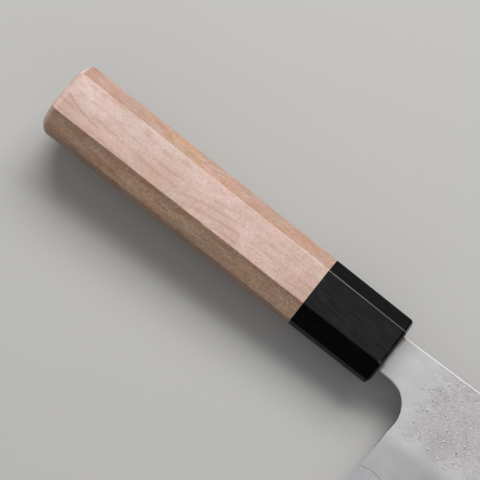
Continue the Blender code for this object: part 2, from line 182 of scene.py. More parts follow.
class KnifeBladeSettings(bpy.types.PropertyGroup):
    """Finish of the three layers of the blade"""

    outer_grey: colour("Outer steel", "Colour of the soft outer layers", (0.9, 0.885, 0.895))
    core_grey: colour("Core steel", "Colour of the hard core", (0.89, 0.885, 0.9))
    stain: colour("Neck stain", "Colour of the stain beside the ferrule", (0.26, 0.15, 0.10))
    pit_depth: metres("Pit depth", "Depth of the fine pits on the upper face", 0.000022)
    line_depth: metres("Line depth", "Depth of the polishing lines on the core", 0.000002)
    layer_rounding: metres("Layer rounding", "Rounding of the layers' eased edges", 0.00016)
    seam_width: metres("Seam width", "Width of the dark chamfer along the lamination line", 0.00007)


class KnifeStageSettings(bpy.types.PropertyGroup):
    """Floor, lights and camera round the knife"""

    floor_tone: colour("Floor", "Colour of the plain floor", (0.39, 0.387, 0.38))
    floor_radius: metres("Floor radius", "Radius of the round floor", 6.0)
    floor_gap: metres("Floor gap", "How far the floor lies below the knife", 0.00002)
    key_power: power("Key power", "Power of the large soft light on matt surfaces", 29.6)
    glint_power: power("Glint power", "Power of the large soft light in reflections", 2.9)
    card_power: power("Card power", "Power of the overhead card, seen in reflections alone", 1.8)
    strip_power: power("Strip power", "Power of the strip light on the edge side", 0.5)
    fill_power: power("Fill power", "Power of the weak side light", 0.9)
    sky: FloatProperty(
        name="Sky",
        description="Strength of the even light from all round",
        default=0.38,
        subtype="FACTOR",
        min=0.0,
        max=5.0,
    )


def pick_only(piece):
    """Makes the piece the one selected and active object."""
    bpy.ops.object.select_all(action="DESELECT")
    piece.select_set(True)
    bpy.context.view_layer.objects.active = piece


def edit(piece, kind, test, operator, **values):
    """Runs an edit-mode operator on the piece's verts, edges or faces that pass the test."""
    pick_only(piece)
    bpy.ops.object.mode_set(mode="EDIT")
    bpy.context.tool_settings.mesh_select_mode = [kind == name for name in ("verts", "edges", "faces")]
    bpy.ops.mesh.select_all(action="DESELECT")
    mesh = bmesh.from_edit_mesh(piece.data)
    mesh.normal_update()
    chosen = [item for item in getattr(mesh, kind) if test(item)]
    for item in chosen:
        item.select_set(True)
    bmesh.update_edit_mesh(piece.data)
    if chosen:
        operator(**values)
    bpy.ops.object.mode_set(mode="OBJECT")
    if not chosen:
        raise RuntimeError(f"{piece.name}: no {kind} to shape")


def everything(_item):
    """Test that every vert, edge or face passes."""
    return True


def middle_of(edge):
    """Point halfway along an edge."""
    return (edge.verts[0].co + edge.verts[1].co) / 2


def direction_of(edge):
    """Direction that an edge runs in, one unit long."""
    return (edge.verts[1].co - edge.verts[0].co).normalized()


def combine(piece, tool, operation):
    """Joins a helper shape to the piece or cuts it out, and deletes the helper."""
    pick_only(piece)
    modifier = piece.modifiers.new("shape", "BOOLEAN")
    modifier.operation = operation
    modifier.solver = "EXACT"
    modifier.object = tool
    bpy.ops.object.modifier_apply(modifier=modifier.name)
    bpy.data.objects.remove(tool, do_unlink=True)


def lay_down(piece, node, crease=30.0):
    """Moves a finished piece from the knife's frame onto the solids and hides the solid that it stands for.
    """
    pick_only(piece)
    piece.data.transform(POSE)
    piece.data.update()
    bpy.ops.object.shade_smooth_by_angle(angle=math.radians(crease))
    modifier = piece.modifiers.new("flat faces", "WEIGHTED_NORMAL")
    modifier.keep_sharp = True
    bpy.ops.object.modifier_apply(modifier=modifier.name)
    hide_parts(node)
    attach(piece, "root")


def octagon_at(handle, x):
    """Half height, half thickness, and how far the broad flat and the narrow side reach from the middle."""
    run = 1 + x / (handle.wood_length + handle.ferrule_length)
    height = handle.butt_height + (handle.front_height - handle.butt_height) * run
    thickness = handle.butt_thickness + (handle.front_thickness - handle.butt_thickness) * run
    across = handle.butt_across + (handle.front_across - handle.butt_across) * run
    cos, sin = math.cos(handle.chamfer_angle), math.sin(handle.chamfer_angle)
    flat = (across / 2 - thickness / 2 * sin) / cos
    side = (across / 2 - height / 2 * cos) / sin
    return height / 2, thickness / 2, flat, side


def add_shape(operator, **values):
    """Adds a primitive shape and applies its place, turn and scale."""
    bpy.ops.object.select_all(action="DESELECT")
    operator(**values)
    bpy.ops.object.transform_apply(location=True, rotation=True, scale=True)
    return bpy.context.object


def square_bar(start, end, height, thickness):
    """Four-sided bar between two places on the handle's axis, given its half height and half thickness."""
    place = ((start + end) / 2, 0, 0)
    scale = (end - start, 2 * height, 2 * thickness)
    return add_shape(bpy.ops.mesh.primitive_cube_add, size=1, location=place, scale=scale)


def resize(bar, test, height, thickness):
    """Scales the height and thickness of the verts that pass the test, about the handle's axis."""
    value = (1, height, thickness)
    edit(bar, "verts", test, bpy.ops.transform.resize, value=value, center_override=(0, 0, 0))


def bevel(piece, test, offset, segments):
    """Bevels the edges that pass the test."""
    edit(piece, "edges", test, bpy.ops.mesh.bevel, offset=offset, segments=segments)


def octagonal_bar(name, handle, start, end):
    """Tapered eight-sided bar between two places on the handle's axis, from a chamfered cube.

    The cube's height is scaled while it is beveled, so that the two legs of its chamfers come out unequal.
    """
    height, thickness, flat, side = octagon_at(handle, start)
    rim = thickness - side
    stretch = rim / (height - flat)
    bar = square_bar(start, end, height * stretch, thickness)
    bar.name = bar.data.name = name
    bevel(bar, lambda edge: abs(direction_of(edge).x) > 0.95, rim, 1)
    resize(bar, everything, 1 / stretch, 1)
    end_height, end_thickness, end_flat, end_side = octagon_at(handle, end)
    middle = (start + end) / 2
    level = (thickness + side) / 2

    def on_broad_flat(vert):
        return vert.co.x > middle and abs(vert.co.z) > level

    def on_narrow_side(vert):
        return vert.co.x > middle and abs(vert.co.z) < level

    resize(bar, on_broad_flat, end_flat / flat, end_thickness / thickness)
    resize(bar, on_narrow_side, end_height / height, end_side / side)
    return bar


def oblong_bar(start, end, first, last):
    """Tapered four-sided bar along the handle's axis."""
    bar = square_bar(start, end, *first)
    middle = (start + end) / 2
    resize(bar, lambda vert: vert.co.x > middle, last[0] / first[0], last[1] / first[1])
    return bar


def round_bar(start, end, first, last):
    """Tapered round bar along the handle's axis."""
    values = {"radius1": first, "radius2": last, "depth": end - start, "vertices": 48}
    values.update({"location": ((start + end) / 2, 0, 0), "rotation": (0, math.pi / 2, 0)})
    return add_shape(bpy.ops.mesh.primitive_cone_add, **values)


def round_rim(bar, x, radius, segments):
    """Rounds the rim of the bar's end face at x."""
    bevel(bar, lambda edge: all(abs(vert.co.x - x) < 1e-6 for vert in edge.verts), radius, segments)


def round_ridges(bar, radius, start, end):
    """Rounds the eight long ridges, which turn by about 45 degrees, also where they run over the rims."""
    least_turn = math.radians(8)

    def is_ridge(edge):
        if len(edge.link_faces) != 2 or not start < middle_of(edge).x < end:
            return False
        return edge.calc_face_angle() > least_turn and abs(direction_of(edge).x) > 0.12

    bevel(bar, is_ridge, radius * RIDGE_OFFSET, 4)


def feed(socket, value):
    """Links an input to a socket, or sets it to any other value."""
    if isinstance(value, bpy.types.NodeSocket):
        socket.id_data.links.new(value, socket)
    elif socket.type == "RGBA" and len(value) == 3:
        socket.default_value = (*value, 1.0)
    else:
        socket.default_value = value


def add_node(tree, kind, values=None, **settings):
    """New shader node with the given inputs and settings, laid out on a loose grid."""
    node = tree.nodes.new("ShaderNode" + kind)
    node.location = (180 * len(tree.nodes), -40 * (len(tree.nodes) % 9))
    for name, value in settings.items():
        setattr(node, name, value)
    for name, value in (values or {}).items():
        feed(node.inputs[name], value)
    return node


def tree_of(*values):
    """Node tree that the sockets among the values belong to."""
    return next(value.id_data for value in values if isinstance(value, bpy.types.NodeSocket))


def calculate(operation, *values, kind="Math", **settings):
    """Node that does one sum with sockets and plain values."""
    node = add_node(tree_of(*values), kind, operation=operation, **settings)
    for socket, value in zip(node.inputs, values):
        feed(socket, value)
    return node


def sum_of(operation, *values, clamp=False):
    """Result of one sum with numbers."""
    return calculate(operation, *values, use_clamp=clamp).outputs[0]


# The sums that follow take sockets and plain numbers alike, and give the socket of the result.
def plus(*values):
    return reduce(partial(sum_of, "ADD"), values)


def times(*values):
    return reduce(partial(sum_of, "MULTIPLY"), values)


def larger(*values):
    return reduce(partial(sum_of, "MAXIMUM"), values)


def minus(first, second, clamp=False):
    return sum_of("SUBTRACT", first, second, clamp=clamp)


def over(first, second):
    return sum_of("DIVIDE", first, second)


def absolute(value):
    return sum_of("ABSOLUTE", value)


def linear(value, slope, start):
    """The value times the slope, plus the start."""
    return sum_of("MULTIPLY_ADD", value, slope, start)


def wave(value, period):
    """Sine wave that repeats whenever the value has grown by the period."""
    return sum_of("SINE", times(value, math.tau / period))


def step(value, low, high, to_low=0.0, to_high=1.0):
    """Smooth change from to_low to to_high while the value goes from low to high."""
    node = add_node(tree_of(value), "MapRange", interpolation_type="SMOOTHSTEP")
    names = ("Value", "From Min", "From Max", "To Min", "To Max")
    for name, given in zip(names, (value, low, high, to_low, to_high)):
        feed(node.inputs[name], given)
    return node.outputs["Result"]


def band(value, rise, fall):
    """1 between a smooth rise and a smooth fall, each with a start and an end, and 0 outside them."""
    return times(step(value, *rise), step(value, *reversed(fall)))


def vector_sum(operation, *values):
    """Result of one sum with vectors, which is a number for a length or a distance."""
    outputs = calculate(operation, *values, kind="VectorMath").outputs
    return outputs["Value" if operation in ("LENGTH", "DISTANCE") else "Vector"]


def spot(place, centre, outer, inner, most=1.0):
    """Round spot: the most within the inner distance of its centre, and nothing past the outer one."""
    return step(vector_sum("DISTANCE", place, centre), outer, inner, 0.0, most)


def join(x, y, z):
    return add_node(tree_of(x, y, z), "CombineXYZ", {"X": x, "Y": y, "Z": z}).outputs[0]


def parts(vector):
    return add_node(tree_of(vector), "SeparateXYZ", {"Vector": vector}).outputs[:]


def normal_parts(place):
    """The surface's normal at a place, as how far it points along the knife, to the spine and up."""
    return parts(add_node(tree_of(place), "NewGeometry").outputs["Normal"])


def mix(factor, first, second, blend="MIX"):
    """Mixes two colours."""
    node = add_node(tree_of(factor), "Mix", data_type="RGBA", blend_type=blend)
    for socket in node.inputs:
        wanted = {"Factor_Float": factor, "A_Color": first, "B_Color": second}.get(socket.identifier)
        if wanted is not None:
            feed(socket, wanted)
    return next(socket for socket in node.outputs if socket.identifier == "Result_Color")


def paint(tone, mask, colour, amount=None):
    """The tone, covered with the colour as far as the mask and the amount say."""
    return mix(mask if amount is None else times(mask, amount), tone, colour)


def tint(tone, mask, colour):
    """The tone, multiplied by the colour as far as the mask says."""
    return mix(mask, tone, colour, "MULTIPLY")


def noise(vector, scale, detail=2.0, roughness=0.5, distortion=0.0, result="Fac"):
    values = {"Vector": vector, "Scale": scale, "Detail": detail}
    values.update({"Roughness": roughness, "Distortion": distortion})
    return add_node(tree_of(vector), "TexNoise", values).outputs[result]


def stretched_noise(vector, scales, *settings):
    """Noise whose scale differs along the three axes."""
    return noise(vector_sum("MULTIPLY", vector, scales), 1.0, *settings)


def group_mask(group, **values):
    """Mask from a shared node group."""
    node = add_node(tree_of(*values.values()), "Group", node_tree=group)
    for name, value in values.items():
        feed(node.inputs[name.capitalize()], value)
    return node.outputs["Mask"]


def fibres(vector, width, length, contrast=0.2):
    return group_mask(lengthwise_fibres(), vector=vector, width=width, length=length, contrast=contrast)


def clouds(vector, size, stretch, contrast=0.2):
    return group_mask(soft_clouds(), vector=vector, size=size, stretch=stretch, contrast=contrast)


def pits(vector, spacing, radius, share):
    return group_mask(scattered_pits(), vector=vector, spacing=spacing, radius=radius, share=share)


def shared(build):
    """Lets the finishes share one node group, which is built when the first of them asks for it."""

    @wraps(build)
    def fetch():
        return bpy.data.node_groups.get(build.__name__) or build(build.__name__)

    return fetch


def new_group(name, inputs):
    """Shader node group that turns a vector and some values into a mask.

    Returns its tree, its inputs and the socket that the mask is fed to.
    """
    tree = bpy.data.node_groups.new(name, "ShaderNodeTree")
    tree.interface.new_socket(name="Vector", in_out="INPUT", socket_type="NodeSocketVector")
    for label, value in inputs.items():
        socket = tree.interface.new_socket(name=label, in_out="INPUT", socket_type="NodeSocketFloat")
        socket.default_value = value
    tree.interface.new_socket(name="Mask", in_out="OUTPUT", socket_type="NodeSocketFloat")
    given = tree.nodes.new("NodeGroupInput").outputs
    mask = tree.nodes.new("NodeGroupOutput").inputs["Mask"]
    return tree, given, mask


def drawn_out_mask(given, along, across, *settings):
    """Mask from a noise with one scale along the knife and another across it.

    The smaller the group's contrast value is, the harder are the mask's edges.
    """
    grain = stretched_noise(given["Vector"], join(along, across, across), *settings)
    return step(grain, minus(0.5, given["Contrast"]), plus(0.5, given["Contrast"]))


@shared
def lengthwise_fibres(name):
    """Fine fibres that run along the knife. Width and length are in millimetres."""
    tree, given, mask = new_group(name, {"Width": 0.3, "Length": 10.0, "Contrast": 0.2})
    across = over(1.0, given["Width"])
    along = over(1.0, given["Length"])
    feed(mask, drawn_out_mask(given, along, across, 3.0, 0.6))
    return tree


@shared
def soft_clouds(name):
    """Soft clouds, drawn out along the knife. Size is in millimetres."""
    tree, given, mask = new_group(name, {"Size": 8.0, "Stretch": 2.0, "Contrast": 0.15})
    across = over(1.0, given["Size"])
    along = over(across, given["Stretch"])
    feed(mask, drawn_out_mask(given, along, across, 3.0, 0.55, 0.4))
    return tree


@shared
def scattered_pits(name):
    """Scattered round pits, in millimetres. Share says how many of the places have one."""
    tree, given, mask = new_group(name, {"Spacing": 0.9, "Radius": 0.2, "Share": 0.4})
    scale = over(1.0, given["Spacing"])
    cells = add_node(tree, "TexVoronoi", {"Vector": given["Vector"], "Scale": scale}, feature="F1")
    chance = add_node(tree, "SeparateColor", {"Color": cells.outputs["Color"]}).outputs
    reach = times(over(given["Radius"], given["Spacing"]), plus(chance[1], 0.5))
    inside = step(cells.outputs["Distance"], times(reach, 0.4), reach, 1.0, 0.0)
    present = sum_of("LESS_THAN", chance[0], given["Share"])
    feed(mask, times(inside, present))
    return tree


def new_material(name):
    """Node material with a bare shader.

    Returns the material, its shader and each point's place in the knife's own frame, in millimetres.
    """
    if name in bpy.data.materials:
        bpy.data.materials.remove(bpy.data.materials[name])
    finish = bpy.data.materials.new(name)
    finish.use_nodes = True
    place, turn, _ = POSE.decompose()
    values = {"Vector": add_node(finish.node_tree, "TexCoord").outputs["Object"], "Location": place}
    values.update({"Rotation": turn.to_euler(), "Scale": (MM, MM, MM)})
    mapping = add_node(finish.node_tree, "Mapping", values, vector_type="TEXTURE")
    return finish, finish.node_tree.nodes["Principled BSDF"], mapping.outputs["Vector"]


def shade(shader, values):
    """Links or sets the inputs of a shader."""
    for name, value in values.items():
        feed(shader.inputs[name], value)


def bump(height, depth):
    """Normal that a height from 0 to 1 gives, where 1 stands depth metres proud."""
    values = {"Height": height, "Distance": depth, "Strength": 1.0}
    return add_node(tree_of(height), "Bump", values).outputs["Normal"]


def finish_piece(piece, finish):
    """Makes the material the only one of the piece."""
    piece.data.materials.clear()
    piece.data.materials.append(finish)


def wood_masks(place):
    """Where a point of the wood lies, which way it faces, and the clouds and fibres there."""
    wood = SimpleNamespace(place=place)
    wood.x, wood.y, wood.z = parts(place)
    wood.lengthwise, wood.across = (absolute(part) for part in normal_parts(place)[:2])
    wood.level = step(wood.lengthwise, 0.35, 0.05)
    wood.flat = times(step(wood.across, 0.3, 0.1), wood.level)
    wood.chamfer = times(step(wood.across, 0.25, 0.62), step(wood.lengthwise, 0.6, 0.3))
    wood.end = step(wood.lengthwise, 0.85, 0.98)
    wood.cloud = clouds(place, size=9.0, stretch=1.4, contrast=0.12)
    wood.patch = clouds(place, size=3.0, stretch=1.4)
    wood.shifted = vector_sum("ADD", place, (47.0, 13.0, 5.0))
    wood.rosy = clouds(wood.shifted, size=5.5, stretch=1.3, contrast=0.12)
    wood.stipple = fibres(place, width=0.4, length=0.85)
    wood.long = fibres(place, width=0.45, length=14.0)
    wood.pores = step(fibres(wood.shifted, width=0.17, length=1.1), 0.7, 1.0)
    return wood


def growth_masks(wood):
    """Distance from a pith outside the handle, growth lines round it, and bands that sweep forwards."""
    from_pith = vector_sum("LENGTH", join(0.0, plus(wood.y, PITH_ASIDE), plus(wood.z, PITH_BELOW)))
    warp = stretched_noise(wood.place, (0.02, 0.06, 0.06), 2.0)
    front = step(wood.x, -86.0, -76.0)
    ring = plus(from_pith, times(warp, 14.0), times(wood.x, 0.09))
    growth = step(wave(ring, period=3.7), 0.2, 1.0)
    growth = times(growth, plus(wood.patch, 0.25), linear(front, -0.7, 1.0))

    sweep = sum_of("EXPONENT", over(plus(wood.x, 84.0), -13.0))
    sweep = plus(wood.y, times(sweep, 6.0), times(warp, 5.0))
    sweep = step(wave(sweep, period=2.7), 0.0, 1.0)
    sweep = times(sweep, front, step(wood.y, 5.0, 0.0, 0.25, 1.0))
    return from_pith, growth, sweep


def curved_line(wood, from_pith):
    """Growth line near the butt that bows towards the spine, with a darker stretch on its one side.

    It sets out 112 mm behind the ferrule's front, and in the next 14.4 mm it bends aside by 2.9 mm.
    """
    bow = over(plus(wood.x, 112.0), 14.4)
    bow = join(0.0, plus(times(bow, bow, 2.9), 36.5), 21.85)
    beside = over(minus(from_pith, vector_sum("LENGTH", bow)), 0.87)
    line = step(absolute(beside), 0.8, 0.1)
    line = plus(times(line, 0.4), step(beside, 0.5, -0.5, 0.0, 0.13))
    return times(line, step(wood.x, -109.0, -116.0), wood.level)


def grain_tone(wood, handle, growth, sweep):
    """Colour from clouds, growth lines, a dusky patch, fibres and pores, calmer towards the butt."""
    tan, streak = handle.wood_tan, handle.wood_streak
    calm = step(wood.x, -116.0, -76.0, 0.5, 1.0)
    tone = paint(handle.wood_pale, wood.cloud, tan, 0.7)
    tone = paint(tone, times(wood.patch, 0.42, calm), tan)
    dusky = vector_sum("SUBTRACT", wood.place, DUSKY_WOOD)
    dusky = vector_sum("LENGTH", vector_sum("MULTIPLY", dusky, (0.58, 0.5, 0.3)))
    dusky = times(step(dusky, 6.5, 1.0), linear(wood.patch, 0.5, 0.5))
    tone = paint(tone, dusky, tan)
    tone = tint(tone, step(wood.x, -100.0, -94.0), (1.04, 1.055, 1.06))
    tone = paint(tone, times(growth, linear(wood.end, 0.3, 0.3)), streak)
    tone = paint(tone, times(sweep, linear(wood.cloud, 0.15, 0.15)), streak)
    dots = pits(wood.place, spacing=0.42, radius=0.13, share=0.5)
    tone = paint(tone, times(dots, wood.end), streak, 0.45)
    tone = paint(tone, times(wood.stipple, 0.37, calm), streak)
    tone = paint(tone, wood.long, streak, 0.12)
    tone = paint(tone, wood.pores, streak, 0.28)
    warmth = mix(wood.chamfer, (1.02, 0.965, 0.975), (1.06, 0.93, 0.86))
    return tint(tone, wood.rosy, warmth)


def flat_tone(wood, tone):
    """Colour of the broad flats, paler towards the spine by painted sheen and duller at the ferrule."""
    # Painted sheen and shade: the flats are paler and bluer towards the spine and darker towards the edge,
    # most near the butt.
    behind = step(wood.x, -92.0, -80.0, 1.0, 0.25)
    painted_sheen_reach = plus(behind, step(wood.x, -70.0, -56.0, 0.0, 0.5))
    sides = mix(step(wood.y, -8.0, 8.0), (0.9, 0.87, 0.84), (1.1, 1.16, 1.22))
    tone = tint(tone, times(painted_sheen_reach, wood.flat), sides)
    joint = step(wood.x, -48.0, -40.0)
    return tint(tone, times(joint, wood.flat), (0.935, 0.915, 0.9))


def chamfer_tone(wood, tone):
    """Colour of the chamfers and narrow sides, with painted shade, olive patches, a golden one and stronger
    fibres.
    """
    # Painted shade: the spine-side chamfer is dimmed, and the narrow sides more so; the edge-side chamfer is
    # only yellowed.
    painted_shade = mix(step(wood.y, -3.0, 3.0), (1.0, 0.92, 0.79), (0.75, 0.695, 0.685))
    painted_shade = mix(step(wood.across, 0.85, 0.97), painted_shade, (0.74, 0.68, 0.61))
    tone = tint(tone, wood.chamfer, painted_shade)
    olive = clouds(wood.shifted, size=2.6, stretch=1.6, contrast=0.1)
    tone = tint(tone, times(olive, wood.chamfer), (0.94, 0.965, 0.85))
    golden = step(absolute(plus(wood.x, 88.0)), 9.0, 3.0)
    golden = times(golden, wood.chamfer, step(wood.y, 7.0, 9.0))
    tone = tint(tone, golden, (1.06, 1.05, 0.93))
    for fibre in (wood.long, wood.stipple):
        tone = tint(tone, times(fibre, wood.chamfer), (0.84, 0.82, 0.81))
    tone = tint(tone, wood.chamfer, (1.1, 1.1, 1.1))
    butt = step(wood.x, -98.0, -112.0)
    return tint(tone, times(wood.chamfer, butt), (0.94, 0.925, 0.955))


def edge_chamfer_tone(wood, tone):
    """Colour on the edge side, where the chamfers are more stippled and darker along both rims."""
    chamfer = times(wood.chamfer, step(wood.y, 3.0, -3.0))
    rims = larger(step(wood.y, -9.0, -7.4), step(wood.y, -10.2, -11.8))
    tone = tint(tone, times(rims, chamfer), (0.82, 0.8, 0.79))
    tone = tint(tone, times(wood.stipple, chamfer), (0.84, 0.83, 0.82))
    return tint(tone, chamfer, (1.14, 1.145, 1.15))


def wood_finish(handle):
    """Pale close-grained wood: growth lines, soft clouds, fine fibres, short pores and darker end grain."""
    finish, shader, place = new_material("pale_grip_wood")
    wood = wood_masks(place)
    from_pith, growth, sweep = growth_masks(wood)
    tone = grain_tone(wood, handle, growth, sweep)
    tone = flat_tone(wood, tone)
    tone = paint(tone, curved_line(wood, from_pith), handle.wood_streak)
    tone = chamfer_tone(wood, tone)
    tone = edge_chamfer_tone(wood, tone)
    tone = tint(tone, wood.end, (0.9, 0.85, 0.81))
    # Painted highlight on the ridges beside the flats, near the ferrule.
    ridge = times(band(wood.across, (0.06, 0.2), (0.4, 0.6)), step(wood.x, -58.0, -40.0))
    tone = tint(tone, ridge, (1.25, 1.25, 1.25))

    rough = plus(0.44, times(wood.stipple, 0.12))
    rough = minus(rough, times(ridge, 0.08))
    relief = minus(times(wood.stipple, -0.5), wood.pores)
    shade(shader, {
        "Base Color": tone,
        "Roughness": rough,
        "Normal": bump(relief, handle.grain_depth),
        "IOR": 1.5,
    })
    return finish


def horn_finish(handle):
    """Polished black horn with faint streaks, a painted ridge highlight and fine hand-rubbed scratches along
    it.
    """
    finish, shader, place = new_material("black_collar_horn")
    x, y, _z = parts(place)
    lengthwise, across = (absolute(part) for part in normal_parts(place)[:2])
    cloud = clouds(place, size=4.0, stretch=2.0)
    scratch = fibres(place, width=0.09, length=6.0)
    streak = fibres(place, width=0.38, length=7.0)
    streak = times(streak, plus(cloud, 0.1), step(across, 0.6, 0.5, 0.35, 1.0))
    tone = mix(streak, handle.horn_dark, handle.horn_streak)
    # Painted reflection: the rims that face along the knife are painted lighter than the horn.
    tone = paint(tone, step(lengthwise, 0.5, 0.65), (0.024, 0.0235, 0.023))
    ridge = band(across, (0.06, 0.2), (0.5, 0.62))
    # Painted highlight: the spine-side ridge is painted grey, most towards the wood.
    painted_ridge_glint = times(ridge, step(y, -1.0, 3.0), step(x, -2.0, -30.0, 0.6, 1.0))
    tone = paint(tone, painted_ridge_glint, (0.12, 0.12, 0.12))

    polished = step(across, 0.6, 0.5, 0.038, 0.32)
    polished = times(polished, linear(cloud, -0.3, 1.12), step(lengthwise, 0.1, 0.3, 1.0, 0.04))
    polished = plus(polished, step(lengthwise, 0.5, 0.65, 0.0, 0.2))
    polished = larger(polished, spot(place, RUBBED_HORN, 0.9, 0.3, 0.9))
    shade(shader, {
        "Base Color": tone,
        "Roughness": plus(0.18, times(scratch, 0.07)),
        "Normal": bump(scratch, handle.scratch_depth),
        "IOR": 1.45,
        "Specular IOR Level": polished,
    })
    return finish


def steel_masks(place):
    """Where a point of the outer steel lies, which way it faces, and how its surface is there."""
    steel = SimpleNamespace(place=place)
    steel.x, steel.y, _z = parts(place)
    facing = normal_parts(place)
    steel.lengthwise, steel.across = (absolute(part) for part in facing[:2])
    steel.spineward = facing[1]
    spine = plus(SPINE_START, times(steel.x, SPINE_RISE))
    steel.depth = minus(spine, steel.y)

    ragged = stretched_noise(place, (0.22, 0.22, 0.22), 3.0)
    ragged = times(minus(ragged, 0.5), 13.0)
    ahead = step(plus(steel.x, ragged), 13.5, 19.0)
    above = step(plus(steel.depth, ragged), 27.0, 22.0)
    steel.pitted = times(ahead, above)
    steel.hazed = step(plus(steel.depth, times(ragged, 0.3)), 25.0, 31.5)

    swirl = noise(place, 0.35, 1.0, result="Color")
    steel.swirled = vector_sum("ADD", place, vector_sum("MULTIPLY", swirl, (3.0, 3.0, 0.0)))
    skin = stretched_noise(steel.swirled, (1.1, 1.9, 1.5), 2.0, 0.6, 0.4)
    steel.skin = step(skin, 0.36, 0.62)
    steel.brushed = fibres(place, width=0.07, length=5.0, contrast=0.25)
    steel.cloud = clouds(place, size=6.0, stretch=1.4, contrast=0.22)
    steel.mottle = clouds(place, size=0.9, stretch=1.5)
    return steel


def pit_masks(steel):
    """Adds pits with painted shade and painted rim highlights, which crowd in hollows and two nests ahead of
    the neck.
    """
    nest = spot(steel.place, PIT_NEST, 6.5, 2.0)
    nest = larger(nest, spot(steel.place, SMALL_PIT_NEST, 5.0, 1.5, 0.7))
    hollow = clouds(steel.swirled, size=3.2, stretch=1.2, contrast=0.09)
    hollow = larger(times(hollow, steel.pitted), nest)
    crowded = stretched_noise(steel.place, (0.16, 0.22, 0.18), 1.0)
    crowded = times(step(crowded, 0.44, 0.58, 0.12, 1.0), steel.pitted)
    crowded = larger(crowded, times(hollow, 0.75), nest)

    # steel.dark is painted shade in the pits; steel.lit, the same pits shifted aside, is a painted highlight
    # on their rims.
    drawn = vector_sum("MULTIPLY", steel.swirled, (0.55, 1.0, 1.0))
    beside = vector_sum("ADD", drawn, (0.08, -0.24, 0.0))
    steel.coarse, lit = (pits(at, spacing=0.8, radius=0.23, share=0.65) for at in (drawn, beside))
    steel.fine = pits(drawn, spacing=0.52, radius=0.2, share=0.55)
    dark = times(steel.fine, linear(nest, 0.45, 0.4))
    steel.dark = times(larger(steel.coarse, dark), crowded, 0.85)
    steel.lit = times(lit, crowded, 0.78)
    steel.nest, steel.hollow = nest, hollow


def face_tone(steel, blade):
    """Colour of the faces: clouds, haze, ruts and pits, a warm and a dull place, and painted shade and
    highlights.
    """
    tone = paint(blade.outer_grey, steel.cloud, DULL_GREY, 0.16)
    tone = paint(tone, steel.mottle, DULL_GREY, 0.07)
    tone = paint(tone, steel.brushed, DULL_GREY, 0.05)
    tone = paint(tone, steel.hazed, (0.40, 0.40, 0.41), 0.38)
    warm = spot(steel.place, WARM_STEEL, 17.0, 3.0, 0.5)
    tone = paint(tone, warm, (0.74, 0.65, 0.67))
    ruts = times(steel.skin, steel.pitted)
    tone = tint(tone, minus(steel.pitted, ruts), (1.13, 1.125, 1.13))
    tone = tint(tone, ruts, (0.925, 0.92, 0.92))
    tone = paint(tone, steel.hollow, DULL_GREY, 0.13)
    tone = paint(tone, steel.nest, DULL_GREY, 0.14)
    # Painted shade: the face is a little darker near the spine, past the neck.
    upper = times(step(steel.depth, 9.0, 1.0), step(steel.x, 10.0, 20.0))
    tone = tint(tone, upper, (0.96, 0.95, 0.95))
    # Painted highlight beside each pit, then painted shade in it.
    tone = paint(tone, steel.lit, (1.0, 0.99, 1.0))
    tone = paint(tone, steel.dark, (0.11, 0.10, 0.10))
    dull = spot(steel.place, DULL_STEEL, 13.0, 2.0)
    dull = times(dull, linear(steel.cloud, 0.5, 0.5))
    tone = paint(tone, dull, DULL_GREY, 0.35)
    # Painted shade: the neck darkens towards the ferrule.
    return paint(tone, step(steel.x, 8.5, -1.0, 0.0, 0.65), DULL_GREY)


def rim_tone(steel, tone, eased):
    """Colour of the narrow faces: the eased spine, and painted shade on the foot along the lamination line
    and the choil.
    """
    tone = paint(tone, eased, (0.68, 0.67, 0.68))
    # Painted shade of the step at the lamination line: the foot's chamfer is painted near-black, mottled.
    seam = times(step(steel.spineward, -0.25, -0.5), step(steel.y, -12.0, -14.0))
    tone = paint(tone, times(seam, linear(steel.mottle, 0.5, 0.5)), (0.02, 0.02, 0.02))
    # Painted shade: the choil's faces are painted black, so that they show no highlight.
    choil = times(step(steel.lengthwise, 0.15, 0.35), step(steel.x, 40.0, 30.0))
    choil = times(choil, step(steel.y, -21.0, -15.0, 0.0, 0.7))
    return paint(tone, choil, (0.0, 0.0, 0.0))


def outer_steel_finish(blade):
    """Soft outer steel: satin neck with a stain, pear-skin pits above and a smooth hazed band below.

    The stain, the eased spine and the pits' painted rim highlights are partly matt, so that the soft light
    shows on them.
    """
    finish, shader, place = new_material("pear_skin_steel")
    steel = steel_masks(place)
    pit_masks(steel)
    tone = face_tone(steel, blade)
    stain = plus(steel.x, times(noise(place, 0.9, 3.0), 1.6))
    ends = step(absolute(plus(steel.y, 0.1)), 2.0, 6.0, 0.4, 1.0)
    stain = times(step(stain, 2.2, 1.0), ends)
    tone = paint(tone, stain, blade.stain)
    eased = band(steel.across, (0.2, 0.5), (0.88, 0.98))
    eased = times(eased, step(steel.depth, 3.0, 2.0))
    tone = rim_tone(steel, tone, eased)

    rough = plus(0.325, times(steel.brushed, 0.03), times(steel.pitted, 0.02))
    rough = plus(rough, step(steel.depth, 1.7, 0.4, 0.0, 0.05), times(stain, 0.3))
    relief = plus(times(steel.coarse, 1.1), times(steel.fine, 0.6))
    relief = minus(times(steel.skin, -0.6), relief)
    relief = plus(times(relief, steel.pitted), times(steel.brushed, 0.02))
    painted_glint_rim = minus(steel.lit, times(steel.dark, 0.5), clamp=True)
    matt = larger(stain, eased, painted_glint_rim)
    shade(shader, {
        "Base Color": tone,
        "Metallic": linear(matt, -0.7, 1.0),
        "Roughness": rough,
        "Normal": bump(relief, blade.pit_depth),
    })
    return finish


